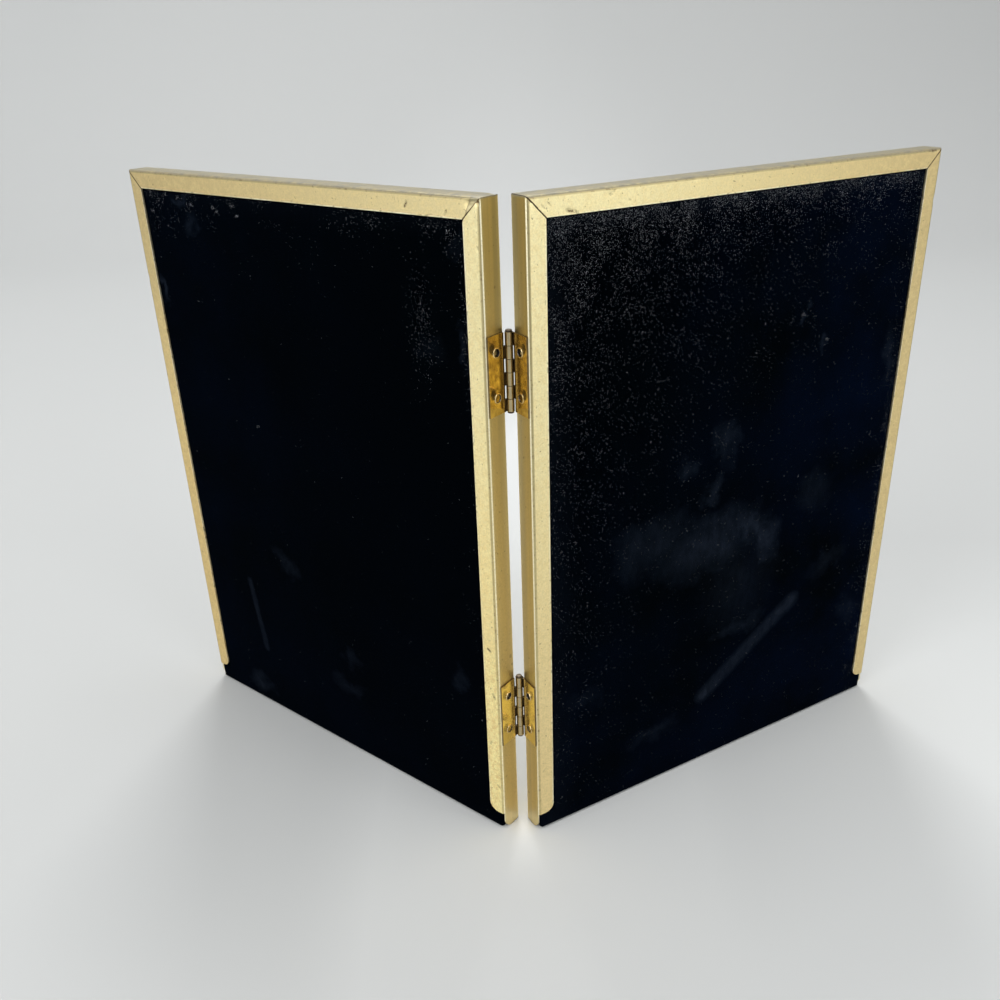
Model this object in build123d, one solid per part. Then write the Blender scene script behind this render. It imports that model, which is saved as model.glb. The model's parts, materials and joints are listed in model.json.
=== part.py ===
from build123d import *
import math
import os

# Hinged double photo frame, opened like a book, seen in its own frame:
# +Z is up, the floor is z = 0, the hinge stands in the middle, the glazed fronts face +Y
# and the velvet backs face -Y. The left frame is on the -X side, the right one on +X.
# All lengths are millimetres.

# Print that the frame is made for (5 by 7 inch), and the room around it
print_width = 127.0
print_height = 177.8
print_thickness = 0.3
print_side_room = 2.8
print_head_room = 2.0

# Rolled sheet rails
sheet = 0.5
bend_radius = 0.8
lip_width = 5.1
face_width = 7.0
face_fall = 0.3
sight_radius = 0.6
hem_depth = 0.6
mitre_gap = 0.1

# Open end of the channels, at the foot of the stiles
lip_cut_height = 6.1
lip_corner_radius = 2.8
wall_corner_radius = 3.2

# Corner angles, soldered inside the mitres
angle_thickness = 0.6
angle_leg = 12.0
angle_bend_radius = 0.8
angle_inset = 0.1

# Glass, filler card and the back panel that slides out at the foot
glass_thickness = 1.8
glass_side_clearance = 0.3
glass_head_clearance = 0.4
filler_thickness = 0.7
board_thickness = 1.8
cover_thickness = 0.6
cover_rim = 0.4
panel_play = 0.3
panel_side_clearance = 0.5
panel_head_clearance = 0.4
panel_foot_clearance = 0.4
pile_rise = 0.45
pile_clearance = 0.3
pile_edge_radius = 0.2

# Hinges
hinge_length = 20.0
hinge_spacing = 99.0
knuckle_count = 6
knuckle_gap = 0.12
barrel_radius = 1.0
leaf_thickness = 0.45
leaf_back_setback = 0.5
leaf_notch_clearance = 0.3
roll_seam = 0.12
pivot_gap = 0.55
pin_clearance = 0.05
pin_head_radius = 0.85
pin_head_height = 0.45
pin_head_round = 0.3
pin_end_play = 0.05

# Rivets that hold the leaves
rivet_spacing = 11.3
rivet_depth = 3.5
rivet_head_radius = 1.35
rivet_head_height = 0.25
rivet_head_round = 0.15
rivet_shank_radius = 1.1
rivet_hole_clearance = 0.05
rivet_bore_radius = 0.85
rivet_bore_flare = 0.15
rivet_clinch_radius = 1.4
rivet_clinch_height = 0.2

# Opening angle at rest, between the glazed fronts, in degrees
rest_angle = 112.4

# How far every cutting tool runs past what it cuts
overrun = 1.0

# Sizes that follow from the ones above
seat = sheet + angle_thickness
frame_width = print_width + 2 * (seat + print_side_room)
frame_height = print_height + 2 * seat + print_head_room

cover_face = sheet + panel_play
board_back = cover_face + cover_thickness
board_front = board_back + board_thickness
filler_back = board_front + panel_play
print_back = filler_back + filler_thickness
glass_back = print_back + print_thickness
glass_front = glass_back + glass_thickness
sight_front = glass_front + hem_depth
frame_depth = sight_front + face_fall

axis_depth = frame_depth + pivot_gap
pin_radius = barrel_radius - leaf_thickness - pin_clearance
knuckle_pitch = hinge_length / knuckle_count
lean = (180 - rest_angle) / 2


def block(low, high):
    """A plain block between two opposite corners."""
    size = [b - a for a, b in zip(low, high)]
    return Pos(*low) * Box(*size, align=(Align.MIN, Align.MIN, Align.MIN))


def bent_strip(points, radii, thickness):
    """Section of a sheet strip whose outer face follows the points, with rounded bends."""
    outer = FilletPolyline(*points, radius=radii)
    return make_face(offset(outer, thickness, side=Side.RIGHT).edges())


def axis_shift():
    """Place of the hinge axis along Y that centres the open frame on the origin."""
    sine, cosine = math.sin(math.radians(lean)), math.cos(math.radians(lean))
    slope = face_fall / face_width
    round_depth = frame_depth - bend_radius * (slope + math.hypot(1, slope))
    far = (sine * (frame_width - bend_radius + barrel_radius)
           + cosine * (round_depth - axis_depth) + bend_radius)
    near_rail = sine * (bend_radius + barrel_radius) + cosine * (bend_radius - axis_depth) - bend_radius
    near_leaf = sine * (barrel_radius - leaf_thickness) + cosine * (leaf_back_setback - axis_depth)
    return -(far + min(near_rail, near_leaf)) / 2


axis_y = axis_shift()


def place(shape, side):
    """Stand a piece in the open frame.

    A piece is drawn with x from the hinge side, y from the back and z from the floor."""
    turned = Pos(0, axis_y, 0) * Rot(0, 0, lean) * Pos(barrel_radius, -axis_depth, 0) * shape
    return turned if side == "right" else mirror(turned, about=Plane.YZ)


# Rails

def channel_section():
    """Back lip, side wall and front face with its turned-in sight edge."""
    points = [(lip_width, 0), (0, 0), (0, frame_depth), (face_width, sight_front), (face_width, glass_front)]
    return bent_strip(points, [bend_radius, bend_radius, sight_radius], sheet)


def ledge_section():
    """Front face and a short ledge: the bottom rail leaves the back open for the panel."""
    points = [(0, filler_back), (0, frame_depth), (face_width, sight_front), (face_width, glass_front)]
    return bent_strip(points, [bend_radius, sight_radius], sheet)


def mitred_rail(section, length):
    """A rail along X, cut at 45 degrees at both ends."""
    bar = extrude(Plane.YZ * section, length)
    reach = face_width + overrun
    cut = mitre_gap / 2
    plan = Polygon((cut, 0), (length - cut, 0), (length - cut - reach, reach), (cut + reach, reach), align=None)
    return bar & Pos(0, 0, -overrun) * extrude(plan, frame_depth + 2 * overrun)


def top_rail():
    return Plane(origin=(0, 0, frame_height), x_dir=(1, 0, 0), z_dir=(0, 1, 0)) * mitred_rail(
        channel_section(), frame_width)


def bottom_rail():
    return Plane(origin=(frame_width, 0, 0), x_dir=(-1, 0, 0), z_dir=(0, 1, 0)) * mitred_rail(
        ledge_section(), frame_width)


def lip_cut():
    """Cuts the back lip away at the foot and leaves its end with a round corner."""
    top = lip_cut_height + lip_corner_radius
    kept = Pos(-overrun, lip_cut_height) * Rectangle(
        lip_width + overrun, top, align=(Align.MIN, Align.MIN))
    corner = kept.vertices().sort_by(Axis.Y)[:2].sort_by(Axis.X)[-1]
    kept = fillet(corner, lip_corner_radius)
    area = Pos(-overrun, -overrun) * Rectangle(
        lip_width + 2 * overrun, top + overrun, align=(Align.MIN, Align.MIN))
    return Pos(0, bend_radius, 0) * extrude(Plane.XZ * (area - kept), bend_radius + overrun)


def wall_corner_cut():
    """Rounds the foot of the side wall, at the back."""
    start = bend_radius - overrun
    centre = bend_radius + wall_corner_radius
    area = Polygon((start, -overrun), (centre, -overrun), (centre, wall_corner_radius),
                   (start, wall_corner_radius), align=None)
    area = area - Pos(centre, wall_corner_radius) * Circle(wall_corner_radius)
    return Pos(-overrun, 0, 0) * extrude(Plane.YZ * area, sheet + 2 * overrun)


def stile():
    """Upright rail of the hinge side, without holes."""
    rail = Plane(origin=(0, 0, 0), x_dir=(0, 0, 1), z_dir=(0, 1, 0)) * mitred_rail(
        channel_section(), frame_height)
    return rail - lip_cut() - wall_corner_cut()


def outer_stile():
    return mirror(stile(), about=Plane.YZ.offset(frame_width / 2))


def hinge_centres():
    return [frame_height / 2 - hinge_spacing / 2, frame_height / 2 + hinge_spacing / 2]


def rivet_heights(centre):
    return [centre - rivet_spacing / 2, centre + rivet_spacing / 2]


def rivet_hole(height):
    """Hole through a hinge leaf and the wall behind it."""
    hole = Cylinder(rivet_shank_radius + rivet_hole_clearance, leaf_thickness + sheet + 2 * overrun,
                    align=(Align.CENTER, Align.CENTER, Align.MIN))
    return Pos(-leaf_thickness - overrun, rivet_depth, height) * Rot(0, 90, 0) * hole


def hinge_stile():
    rail = stile()
    for centre in hinge_centres():
        for height in rivet_heights(centre):
            rail = rail - rivet_hole(height)
    return rail


def corner_angles():
    """Four small angles, one standing in each corner against both walls."""
    section = bent_strip([(angle_leg, 0), (0, 0), (0, angle_leg)], [angle_bend_radius], angle_thickness)
    back = filler_back + angle_inset
    angle = Pos(sheet, glass_front, sheet) * extrude(Plane.XZ * section, glass_front - back)
    pair = [angle, mirror(angle, about=Plane.YZ.offset(frame_width / 2))]
    upper = [mirror(piece, about=Plane.XY.offset(frame_height / 2)) for piece in pair]
    return Compound([piece.solid() for piece in pair + upper])


# What the rails hold

def glazing(back, front):
    """A sheet cut to the channel, standing on the bottom corner angles."""
    side = seat + glass_side_clearance
    return block((side, back, seat), (frame_width - side, front, frame_height - seat - glass_head_clearance))


def photo_insert():
    side = (frame_width - print_width) / 2
    return block((side, print_back, seat), (frame_width - side, glass_back, seat + print_height))


def panel_edges():
    """Low and high edges of the covered back panel, across and up."""
    side = sheet + panel_side_clearance
    return side, frame_width - side, panel_foot_clearance, frame_height - sheet - panel_head_clearance


def back_board():
    left, right, foot, head = panel_edges()
    return block((left + cover_rim, board_back, foot + cover_rim),
                 (right - cover_rim, board_front, head - cover_rim))


def velvet_cover():
    """Velvet over the back and edges of the board; its pile stands up between the lips."""
    left, right, foot, head = panel_edges()
    pile_face = cover_face - pile_rise
    field = block((lip_width + pile_clearance, pile_face, foot),
                  (frame_width - lip_width - pile_clearance, cover_face,
                   frame_height - lip_width - pile_clearance))
    skirt = block((left, pile_face, foot), (right, cover_face, lip_cut_height - pile_clearance))
    pile = field + skirt
    pile = fillet(pile.faces().sort_by(Axis.Y)[0].edges(), pile_edge_radius)
    tray = block((left, cover_face, foot), (right, board_front, head))
    return tray - back_board() + pile


# Hinges

def knuckle(low):
    """One rolled eye with the strap that carries it, and the seam where the roll comes home."""
    height = knuckle_pitch - knuckle_gap
    strap = block((-leaf_thickness, axis_depth - barrel_radius - leaf_notch_clearance, low),
                  (0, axis_depth, low + height))
    eye = Cylinder(barrel_radius, height, align=(Align.CENTER, Align.CENTER, Align.MIN))
    bore = Cylinder(pin_radius + pin_clearance, height, align=(Align.CENTER, Align.CENTER, Align.MIN))
    centre = Pos(-barrel_radius, axis_depth, low)
    seam = block((-leaf_thickness - roll_seam, axis_depth - barrel_radius, low),
                 (-leaf_thickness, axis_depth, low + height))
    return strap + centre * eye - seam - centre * bore


def hinge_leaf(centre, first_knuckle):
    """Leaf riveted to the side wall; its eyes are every second knuckle from the top."""
    low = centre - hinge_length / 2
    high = centre + hinge_length / 2
    leaf = block((-leaf_thickness, leaf_back_setback, low),
                 (0, axis_depth - barrel_radius - leaf_notch_clearance, high))
    for place_from_top in range(first_knuckle, knuckle_count, 2):
        leaf = leaf + knuckle(high - (place_from_top + 1) * knuckle_pitch + knuckle_gap / 2)
    for height in rivet_heights(centre):
        leaf = leaf - rivet_hole(height)
    return leaf


def hinge_pin(centre):
    """Straight pin with a peened head at each end."""
    half = hinge_length / 2 + pin_end_play
    pin = Cylinder(pin_radius, 2 * half)
    head = Cylinder(pin_head_radius, pin_head_height, align=(Align.CENTER, Align.CENTER, Align.MIN))
    head = fillet(head.edges().sort_by(Axis.Z)[-1], pin_head_round)
    pin = pin + Pos(0, 0, half) * head + Pos(0, 0, -half) * Rot(180, 0, 0) * head
    return Pos(-barrel_radius, axis_depth, centre) * pin


def rivet(height):
    """Tubular rivet: domed head outside, shank through leaf and wall, clinched inside."""
    grip = leaf_thickness + sheet
    base = (Align.CENTER, Align.CENTER, Align.MIN)
    head = Cylinder(rivet_head_radius, rivet_head_height, align=base)
    head = fillet(head.edges().sort_by(Axis.Z)[0], rivet_head_round)
    shank = Pos(0, 0, rivet_head_height) * Cylinder(rivet_shank_radius, grip, align=base)
    clinch = Pos(0, 0, rivet_head_height + grip) * Cylinder(
        rivet_clinch_radius, rivet_clinch_height, align=base)
    bore = Cylinder(rivet_bore_radius, rivet_head_height + grip, align=base)
    flare = Cone(rivet_bore_radius + rivet_bore_flare, rivet_bore_radius, rivet_bore_flare, align=base)
    body = head + shank + clinch - bore - flare
    return Pos(-leaf_thickness - rivet_head_height, rivet_depth, height) * Rot(0, 90, 0) * body


def rivet_pair(centre):
    return Compound([rivet(height).solid() for height in rivet_heights(centre)])


# The assembly

nodes = {}
for side in ["left", "right"]:
    nodes[side + "_top_rail"] = place(top_rail(), side)
    nodes[side + "_hinge_stile"] = place(hinge_stile(), side)
    nodes[side + "_outer_stile"] = place(outer_stile(), side)
    nodes[side + "_bottom_rail"] = place(bottom_rail(), side)
    nodes[side + "_corner_angles"] = place(corner_angles(), side)
    nodes[side + "_glass"] = place(glazing(glass_back, glass_front), side)
    nodes[side + "_photo_insert"] = place(photo_insert(), side)
    nodes[side + "_filler_card"] = place(glazing(filler_back, print_back), side)
    nodes[side + "_back_board"] = place(back_board(), side)
    nodes[side + "_velvet_cover"] = place(velvet_cover(), side)

for level, centre in zip(["lower", "upper"], hinge_centres()):
    for first, side in enumerate(["right", "left"]):
        nodes[level + "_" + side + "_hinge_leaf"] = place(hinge_leaf(centre, first), side)
        nodes[level + "_" + side + "_rivets"] = place(rivet_pair(centre), side)
    nodes[level + "_hinge_pin"] = place(hinge_pin(centre), "right")

os.makedirs("parts", exist_ok=True)
for name, shape in nodes.items():
    export_step(shape, "parts/" + name + ".step")

print("frame", round(frame_width, 2), "wide,", round(frame_height, 2), "high,", round(frame_depth, 2), "deep")
print("hinge axis at y", round(axis_y, 4), "and from", hinge_centres())
print(len(nodes), "nodes")
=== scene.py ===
# %% [markdown]
# # A hinged double photo frame, seen from its velvet backs
# The object is a pair of metal frames that open like a book. Sheet-metal rails hold a glass, a
# card and a back panel covered with velvet, and two small brass hinges join the frames.
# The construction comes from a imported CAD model. This lesson dresses it: it keeps every CAD
# piece where it is, and gives each surface the shape and finish of a frame that has been used.

# %% Load the frame that everything is built around
import json
import math
import random
from collections import namedtuple

import bmesh
import bpy
from mathutils import Euler, Matrix, Vector, noise


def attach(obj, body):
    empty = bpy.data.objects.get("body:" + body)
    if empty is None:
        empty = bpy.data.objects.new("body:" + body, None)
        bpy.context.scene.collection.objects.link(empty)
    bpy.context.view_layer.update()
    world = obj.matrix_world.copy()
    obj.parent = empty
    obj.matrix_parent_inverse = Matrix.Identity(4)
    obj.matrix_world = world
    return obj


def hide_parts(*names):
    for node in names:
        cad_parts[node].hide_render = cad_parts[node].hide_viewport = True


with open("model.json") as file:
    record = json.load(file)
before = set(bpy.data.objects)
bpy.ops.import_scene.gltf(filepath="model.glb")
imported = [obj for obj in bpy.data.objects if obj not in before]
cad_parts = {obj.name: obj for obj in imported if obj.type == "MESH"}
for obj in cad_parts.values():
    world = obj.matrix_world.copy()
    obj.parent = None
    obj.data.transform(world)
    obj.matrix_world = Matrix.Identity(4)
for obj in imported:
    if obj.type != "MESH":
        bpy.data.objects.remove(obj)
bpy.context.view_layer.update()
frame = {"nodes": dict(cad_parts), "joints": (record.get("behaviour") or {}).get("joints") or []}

# %% [markdown]
# ## Sizes and the frame's own directions
# Each frame leans away from the middle by the same angle, one to the left and one to the right.
# It is easier to model one upright frame in its own directions and to turn it afterwards:
# x runs from the hinge side to the far side, y from the back to the front, z up from the floor.
# The hinge's place comes from the joint, so the pieces land on the CAD model by themselves.

# %% Driving sizes, in metres
mm = 0.001
frame_width, frame_height, frame_depth = 134.8 * mm, 182.0 * mm, 7.2 * mm
sheet = 0.5 * mm
lip_width, face_width = 5.1 * mm, 7.0 * mm
barrel_radius, axis_depth = 1.0 * mm, 7.75 * mm
opening = math.radians(112.4)
lean = (math.pi - opening) / 2
hinge_axis = Vector(next(j for j in frame["joints"] if j["name"] == "frame_hinge")["pos_m"])
hinge_axis.z = 0

# %% Turning an upright frame into its place
def placing(side):
    """Matrix that takes a frame's own directions to the open pair."""
    own = Matrix.Translation((barrel_radius, -axis_depth, 0))
    turned = Matrix.Translation(hinge_axis) @ Matrix.Rotation(lean, 4, "Z") @ own
    return turned if side == "right" else Matrix.Scale(-1, 4, (1, 0, 0)) @ turned


far_corner = placing("right") @ Vector((frame_width, 0, frame_height))
print("far top corner of the right frame, mm:", [round(c * 1000, 2) for c in far_corner])

# %% [markdown]
# ## The camera
# The photograph was taken a hand's breadth behind the frames, from above and looking down.
# Its place and lens come from matching the frames' long straight edges, so the picture lines up.
# A camera is turned here by its three angles: down (pitch), sideways (yaw) and round (roll).

# %% Camera at the photograph's place
camera_place = Vector((16.68, -257.60, 212.11)) * mm
camera_yaw, camera_pitch, camera_roll = math.radians(5.17), math.radians(-25.29), math.radians(-2.107)
lens_length, sensor_width = 34.76, 36.0

camera_data = bpy.data.cameras.new("camera")
camera_data.lens, camera_data.sensor_width = lens_length, sensor_width
camera_data.clip_start, camera_data.clip_end = 10 * mm, 20.0
camera = bpy.data.objects.new("camera", camera_data)
bpy.context.scene.collection.objects.link(camera)
aim = Matrix.Rotation(camera_yaw, 4, "Z") @ Matrix.Rotation(math.pi / 2 + camera_pitch, 4, "X")
camera.matrix_world = Matrix.Translation(camera_place) @ aim @ Matrix.Rotation(camera_roll, 4, "Z")
bpy.context.scene.camera = camera
bpy.context.scene.view_settings.view_transform = "Standard"

# %% [markdown]
# ## Helpers for meshes
# A sheet-metal piece starts as a thin surface that is cut, bent and pressed, and only then gets its
# thickness. These helpers cut a mesh with planes, turn a finished mesh into an object, and set it on
# the CAD body that it moves with.

# %% Cutting, placing and attaching
merge, touching = 0.0001 * mm, 0.001 * mm


def parts_of(faces):
    """Faces with their edges and corners, for an operator that works on a part of a mesh."""
    edges, verts = {e for f in faces for e in f.edges}, {v for f in faces for v in f.verts}
    return [*faces, *edges, *verts]


def oblong(bm, axis, at, first, second):
    """A four-sided face across one axis, between the two ends given for each of the others."""
    (a, b), (c, d) = first, second
    corners = [(*corner[:axis], at, *corner[axis:]) for corner in ((a, c), (b, c), (b, d), (a, d))]
    return bm.faces.new([bm.verts.new(corner) for corner in corners])


def slice_at(bm, place, normal, geom=None, clear_outer=False):
    """Adds an edge loop where a plane crosses the mesh, and can remove what lies beyond it."""
    geom = geom or bm.verts[:] + bm.edges[:] + bm.faces[:]
    bmesh.ops.bisect_plane(bm, geom=geom, dist=merge, plane_co=place, plane_no=normal,
                           clear_outer=clear_outer)


def slices_at(bm, axis, places, geom=None):
    """Adds an edge loop across one axis at each place."""
    normal = Matrix.Identity(3)[axis]
    for place in places:
        slice_at(bm, normal * place, normal, geom)


def slices_along(bm, axis, start, stop, step):
    """Adds edge loops at even steps along one axis."""
    slices_at(bm, axis, [start + i * step for i in range(1, int((stop - start) / step))])


def raised(bm, edges, by):
    """Draws edges out into new faces, by a vector."""
    drawn = bmesh.ops.extrude_edge_only(bm, edges=edges)["geom"]
    bmesh.ops.translate(bm, verts=[v for v in drawn if isinstance(v, bmesh.types.BMVert)], vec=by)


def rounded_off(bm, geom, offset, segments, affect="EDGES"):
    """Rounds edges, or the corners of a sheet."""
    bmesh.ops.bevel(bm, geom=geom, offset=offset, segments=segments, profile=0.5, affect=affect, material=-1)


def take_in(whole, part):
    """Adds a finished part's mesh to a larger one."""
    mesh = bpy.data.meshes.new("part")
    part.to_mesh(mesh)
    part.free()
    whole.from_mesh(mesh)
    bpy.data.meshes.remove(mesh)


def new_piece(name, bm, materials=()):
    """Turns a bmesh into an object at the origin."""
    mesh = bpy.data.meshes.new(name)
    bm.to_mesh(mesh)
    bm.free()
    piece = bpy.data.objects.new(name, mesh)
    bpy.context.scene.collection.objects.link(piece)
    for material in materials:
        mesh.materials.append(material)
    return piece


def finished(bm, side, node, body, materials, turn=None):
    """Moves an upright piece to its side of the open pair, where it stands for its CAD node."""
    matrix = placing(side) @ (turn or Matrix())
    bmesh.ops.transform(bm, matrix=matrix, verts=bm.verts)
    if matrix.determinant() < 0:
        bmesh.ops.reverse_faces(bm, faces=bm.faces)
    for face in bm.faces:
        face.smooth = True
    piece = new_piece(node + "_finished", bm, materials)
    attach(piece, body)
    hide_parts(node)
    return piece


def soft_edges(piece, width, least_turn, segments=2):
    """Rounds the sharp edges, which catch the light on a real piece."""
    rounded = piece.modifiers.new("soft_edges", "BEVEL")
    rounded.width, rounded.segments = width, segments
    rounded.limit_method, rounded.angle_limit = "ANGLE", least_turn
    rounded.harden_normals = True

# %% [markdown]
# ## Helpers for materials
# Every finish here is a small recipe of noise, stains and bumps, worked out by the renderer, and no pictures.
# Some finishes also hold painted light and shade, which is said where it stands. The class below keeps a
# recipe readable: it adds a node in one line, makes noise, stretches a value, mixes two colours or does a
# sum. A finish calls its own recipe m.

# %% A small kit for node materials
class Recipe:
    """A node tree that grows step by step, and the coordinates in metres that it starts from."""

    def __init__(self, owner):
        self.owner = owner
        owner.use_nodes = True
        self.nodes, self.links = owner.node_tree.nodes, owner.node_tree.links
        self.where = self.add("TexCoord").outputs["Object"]

    def connect(self, socket, value):
        """Sets a socket to a number or colour, or links another node's output to it."""
        if isinstance(value, bpy.types.NodeSocket):
            self.links.new(value, socket)
        else:
            socket.default_value = value

    def add(self, kind, sockets=None, **settings):
        """Adds a node with its settings and its sockets' values."""
        node = self.nodes.new("ShaderNode" + kind)
        for key, value in settings.items():
            setattr(node, key, value)
        for key, value in (sockets or {}).items():
            self.connect(node.inputs[key], value)
        return node

    def noise(self, vector, scale, detail=3.0, roughness=0.5):
        sockets = {"Vector": vector, "Scale": scale, "Detail": detail, "Roughness": roughness}
        return self.add("TexNoise", sockets).outputs["Fac"]

    def spread(self, value, low, high, to_low=0.0, to_high=1.0, **settings):
        """Stretches the part of a value between low and high, and clips the rest."""
        sockets = {"Value": value, "From Min": low, "From Max": high, "To Min": to_low, "To Max": to_high}
        return self.add("MapRange", sockets, **settings).outputs["Result"]

    def between(self, value, low, high, soft):
        """1 where a value lies between two others, with soft borders."""
        return self.times(self.spread(value, low - soft, low + soft),
                          self.spread(value, high + soft, high - soft))

    def mix(self, factor, first, second):
        """A colour between two others."""
        node = self.add("Mix", {0: factor, 6: first, 7: second}, data_type="RGBA")
        return node.outputs[2]

    def maths(self, operation, *values):
        """One sum on two values, or the same sum on each further value."""
        result = values[0]
        for value in values[1:] or (0.0,):
            result = self.add("Math", {0: result, 1: value}, operation=operation).outputs[0]
        return result

    def times(self, *values):
        return self.maths("MULTIPLY", *values)

    def plus(self, *values):
        return self.maths("ADD", *values)

    def minus(self, *values):
        return self.maths("SUBTRACT", *values)

    def larger(self, *values):
        return self.maths("MAXIMUM", *values)

    def smaller(self, *values):
        return self.maths("MINIMUM", *values)

    def vector_maths(self, operation, *values, **sockets):
        node = self.add("VectorMath", {**dict(enumerate(values)), **sockets}, operation=operation)
        return node.outputs["Value" if operation in ("LENGTH", "DOT_PRODUCT") else "Vector"]

    def mapped(self, vector, place=(0, 0, 0), turn=(0, 0, 0), size=(1, 1, 1), kind="TEXTURE"):
        """Coordinates counted from a place, in a direction and in steps of a size."""
        sockets = {"Vector": vector, "Location": place, "Rotation": turn, "Scale": size}
        return self.add("Mapping", sockets, vector_type=kind).outputs["Vector"]

    def stretched(self, vector, scale, turn=(0, 0, 0)):
        """Coordinates turned, and then drawn out or squeezed along each axis."""
        return self.mapped(vector, turn=turn, size=scale, kind="POINT")

    def apart(self, vector):
        return self.add("SeparateXYZ", {0: vector}).outputs[:]

    def bump(self, height, distance):
        """Surface relief whose highest points stand a distance above the lowest."""
        return self.add("Bump", {"Height": height, "Strength": 1.0, "Distance": distance}).outputs["Normal"]

    def own(self, side):
        """Coordinates in the upright frame's own directions, undoing its placing."""
        shift = -(Matrix.Rotation(-lean, 3, "Z") @ hinge_axis) - Vector((barrel_radius, -axis_depth, 0))
        flip = (1 if side == "right" else -1, 1, 1)
        return self.mapped(self.where, shift, (0, 0, -lean), flip, "POINT")

    def surface(self, colour, roughness, **sockets):
        """Ends the recipe as a principled surface and hands back its material."""
        named = {key.replace("_", " "): value for key, value in sockets.items()}
        bsdf = self.add("BsdfPrincipled", {"Base Color": colour, "Roughness": roughness, **named})
        self.add("OutputMaterial", {"Surface": bsdf.outputs[0]})
        return self.owner


def recipe(name):
    """An empty recipe for a new material."""
    made = Recipe(bpy.data.materials.new(name))
    for node in [n for n in made.nodes if n.type != "TEX_COORD"]:
        made.nodes.remove(node)
    return made

# %% [markdown]
# ## Floor and light
# The real frames stood on a white sheet that curves up behind them, so no horizon shows.
# A strip of floor whose far edge is bent up does the same: it is a plane whose edge is extruded up, and whose
# fold is rounded with a bevel. Its pale grey holds painted light and shade. It is painted a little lighter
# near the camera and in two soft pools of painted light, one through the gap between the frames and one
# behind them. It is painted a little darker, as shade, further back and most in the far right corner.

# %% A sheet of paper that curves up behind the object
sweep_half_width, sweep_front, sweep_back, sweep_height = 3.0, -2.5, 1.6, 2.6
sweep_radius, sweep_segments = 0.8, 24
bm = bmesh.new()
floor_face = oblong(bm, 2, 0, (-sweep_half_width, sweep_half_width), (sweep_front, sweep_back))
back_edge = max(floor_face.edges, key=lambda e: e.verts[0].co.y + e.verts[1].co.y)
raised(bm, [back_edge], (0, 0, sweep_height))
rounded_off(bm, [back_edge], sweep_radius, sweep_segments)
bmesh.ops.recalc_face_normals(bm, faces=bm.faces)
for face in bm.faces:
    face.smooth = True

pale_paper = recipe("pale_paper")
paper_where = pale_paper.where
paper_grain = pale_paper.noise(paper_where, 3.0)
paper_tone = pale_paper.mix(paper_grain, (0.605, 0.615, 0.608, 1), (0.625, 0.631, 0.622, 1))
sideways, towards_back, _ = pale_paper.apart(paper_where)
# Painted light and shade: the paper is painted lighter near the camera and darker further back, most to the
# right.
near_camera = pale_paper.times(pale_paper.spread(towards_back, 0.15, -0.10),
                               pale_paper.spread(sideways, -0.15, 0.15, 0.04, 0.28))
far_away = pale_paper.times(pale_paper.spread(towards_back, 0.2, 1.5),
                            pale_paper.spread(sideways, -0.95, 0.0, -0.03, 0.20))
# Painted light: two soft pools of light, one through the gap between the frames and one behind them.
painted_light_pools = [((0, 0.10, 0), (0.055, 0.24, 1), 0.42), ((-0.05, 0.70, 0), (0.20, 0.60, 1), 0.10)]
paler = near_camera
for middle, half_size, strongest in painted_light_pools:
    away = pale_paper.vector_maths("LENGTH", pale_paper.mapped(paper_where, middle, size=half_size))
    patch = pale_paper.spread(away, 0.1, 1.4, strongest, 0.0, interpolation_type="SMOOTHSTEP")
    paler = pale_paper.plus(paler, patch)
duller = pale_paper.minus(pale_paper.plus(far_away, 0.20), paler)
paper_tone = pale_paper.mix(duller, paper_tone, (0.0, 0.0, 0.0, 1))
floor = new_piece("floor", bm, [pale_paper.surface(paper_tone, 0.75)])

# %% [markdown]
# The light is an even room light with a soft source above and behind the frames, which puts their
# soft shadows in front of them. Two wide windows at the sides brighten the metal of the rails.

# %% Soft lights
def softbox(name, place, width, height, watts):
    """A soft rectangular lamp that points at the middle of the object."""
    data = bpy.data.lights.new(name, "AREA")
    data.shape, data.size, data.size_y, data.energy = "RECTANGLE", width, height, watts
    lamp = bpy.data.objects.new(name, data)
    bpy.context.scene.collection.objects.link(lamp)
    away = Vector(place) - Vector((0, 0, frame_height / 2))
    lamp.matrix_world = Matrix.Translation(place) @ away.to_track_quat("Z", "Y").to_matrix().to_4x4()
    return lamp


softbox("overhead", (-0.12, 0.95, 1.35), 0.55, 0.55, 11.0)
softbox("ceiling", (0.1, -0.40, 1.7), 1.6, 1.2, 8.0)
softbox("right_window", (1.85, -1.3, 0.95), 1.6, 1.6, 16.0)
softbox("left_window", (-1.6, -1.55, 0.95), 1.4, 1.6, 27.5)

# %% [markdown]
# Polished metal shows what stands round it. A dark card in the photographer's place, which the camera
# itself doesn't see, gives the rails something to reflect, and the world is brighter above than below.

# %% A dark card behind the camera, and the room's light
card_half_width, card_low, card_high, card_back = 0.36, 0.02, 0.45, -0.70
bm = bmesh.new()
oblong(bm, 1, card_back, (-card_half_width, card_half_width), (card_low, card_high))
dark_coat = recipe("dark_coat")
cloth = dark_coat.noise(dark_coat.where, 12.0)
cloth_tone = dark_coat.mix(cloth, (0.16, 0.16, 0.165, 1), (0.22, 0.22, 0.225, 1))
photographer = new_piece("photographer", bm, [dark_coat.surface(cloth_tone, 0.9)])
photographer.visible_camera = False

bpy.context.scene.world = bpy.data.worlds.new("room")
room = Recipe(bpy.context.scene.world)
background = room.nodes["Background"]
background.inputs["Color"].default_value = (0.96, 0.98, 1.0, 1)
to_the_right, _, upward = room.apart(room.where)
room_light = room.plus(room.spread(upward, 0.0, 0.9, 0.56, 0.76),
                       room.spread(to_the_right, -1.0, 1.0, -0.06, 0.06))
room.connect(background.inputs["Strength"], room_light)
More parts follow.
